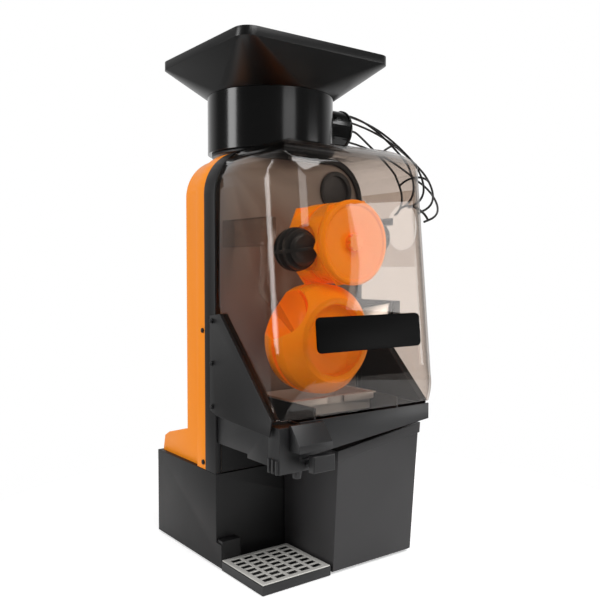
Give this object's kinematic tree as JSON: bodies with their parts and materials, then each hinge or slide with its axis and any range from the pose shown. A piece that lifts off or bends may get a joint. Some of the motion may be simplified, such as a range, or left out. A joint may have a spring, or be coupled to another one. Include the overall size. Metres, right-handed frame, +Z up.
{
  "type": "automatic orange juicer",
  "caption": "Upright automatic citrus juicer: hopper, wire fruit chute, smoked pull-off cover, paired press and cup rotors, push tap, drip tray and waste bin.",
  "frame": {"origin": "middle of the overall box, on the surface that the feet stand on", "axes": "+Z up, +Y to the rear, +X to the right seen from the front"},
  "size_m": [0.4134, 0.409, 0.82],
  "materials": {
    "black_sheet": "satin",
    "rubber": "matte",
    "orange_housing": "satin",
    "orange_food_plastic": "satin",
    "black_gloss": "gloss",
    "black_moulded": "matte",
    "bin_plastic": "satin",
    "smoked_clear": "gloss",
    "stainless": "brushed",
    "steel": "satin",
    "gear_plastic": "satin",
    "zinc": "satin",
    "wire": "gloss"
  },
  "bodies": {
    "machine": {"base_floor_plate": "black_sheet", "rubber_feet": "rubber", "base_chassis": "black_sheet", "corner_block": "black_sheet", "frame_band": "black_sheet", "back_plate": "stainless", "port_plug": "black_moulded", "rear_cover": "orange_housing", "rear_vent_panel": "black_sheet", "left_gusset": "black_sheet", "right_gusset": "black_sheet", "gusset_screws": "steel", "cover_screws": "steel", "juice_collector": "black_moulded", "front_fascia": "black_moulded", "tap_body": "black_moulded", "tap_valve": "black_moulded", "tap_nozzle": "black_moulded", "tap_hood": "black_moulded", "tap_spring": "steel", "catch_bracket": "black_moulded", "feeder_mount": "black_moulded", "feeder_cylinder": "black_gloss", "outlet_collar": "black_gloss", "feeder_motor": "zinc", "wire_chute": "wire", "chute_bracket": "black_sheet", "bearing_housings": "zinc", "rotor_bearings": "steel", "drive_carrier": "zinc", "gearbox": "zinc", "drive_motor": "zinc", "knife": "stainless", "knife_holder": "black_moulded", "peel_ejector": "black_moulded", "power_inlet": "black_moulded"},
    "upper_rotor": {"upper_rotor_shaft": "stainless", "upper_drum": "orange_food_plastic", "upper_face": "orange_food_plastic", "upper_knob": "orange_food_plastic", "press_balls": "black_moulded", "upper_gear": "gear_plastic"},
    "lower_rotor": {"lower_rotor_shaft": "stainless", "front_cups": "orange_food_plastic", "rear_cups": "orange_food_plastic", "lower_knob": "orange_food_plastic", "lower_gear": "gear_plastic"},
    "pinion": {"motor_pinion": "steel"},
    "feeder": {"fruit_wheel": "black_moulded"},
    "front_cover": {"front_hood": "smoked_clear", "badge_plate": "black_gloss"},
    "tap_push": {"tap_button": "black_moulded"},
    "strainer": {"strainer_box": "stainless"},
    "tray": {"drip_tray": "black_moulded"},
    "grille": {"drip_grille": "stainless"},
    "bin": {"waste_bin": "bin_plastic"},
    "fruit_hopper": {"hopper": "black_gloss"},
    "power_rocker": {"switch_rocker": "black_moulded"}
  },
  "joints": [
    {"name": "lower_rotor_spin", "type": "hinge", "parent": "machine", "child": "lower_rotor", "pos_m": [-0.0822, -0.0045, 0.36107], "axis": [0, 1, 0], "continuous": true},
    {"name": "upper_rotor_spin", "type": "hinge", "parent": "machine", "child": "upper_rotor", "pos_m": [-0.0507, -0.0045, 0.50568], "axis": [0, 1, 0], "continuous": true},
    {"name": "pinion_spin", "type": "hinge", "parent": "machine", "child": "pinion", "pos_m": [-0.0822, 0.0405, 0.25707], "axis": [0, 1, 0], "continuous": true},
    {"name": "fruit_wheel_spin", "type": "hinge", "parent": "machine", "child": "feeder", "pos_m": [-0.0522, 0.0635, 0.68], "axis": [0, 0, 1], "continuous": true},
    {"name": "front_cover_pull", "type": "slide", "parent": "machine", "child": "front_cover", "axis": [0, -1, 0], "range_m": [0, 0.22]},
    {"name": "hopper_lift", "type": "slide", "parent": "machine", "child": "fruit_hopper", "axis": [0, 0, 1], "range_m": [0, 0.06]},
    {"name": "waste_bin_pull", "type": "slide", "parent": "machine", "child": "bin", "axis": [0, -1, 0], "range_m": [0, 0.15]},
    {"name": "drip_tray_pull", "type": "slide", "parent": "machine", "child": "tray", "axis": [0, -1, 0], "range_m": [0, 0.12]},
    {"name": "drip_grille_lift", "type": "slide", "parent": "tray", "child": "grille", "axis": [0, 0, 1], "range_m": [0, 0.03]},
    {"name": "strainer_pull", "type": "slide", "parent": "machine", "child": "strainer", "axis": [0, -1, 0], "range_m": [0, 0.045]},
    {"name": "tap_press", "type": "slide", "parent": "machine", "child": "tap_push", "axis": [0, 1, 0], "range_m": [0, 0.01], "stiffness_N_per_m": 600, "springref_m": -0.004, "deforming": ["tap_spring"]},
    {"name": "power_rocker_tilt", "type": "hinge", "parent": "machine", "child": "power_rocker", "pos_m": [0.0248, 0.195, 0.06], "axis": [1, 0, 0], "range_deg": [-6, 6]}
  ],
  "couplings": [
    {"joint": "upper_rotor_spin", "follows": "lower_rotor_spin", "ratio": -1},
    {"joint": "pinion_spin", "follows": "lower_rotor_spin", "ratio": -2.4667}
  ]
}
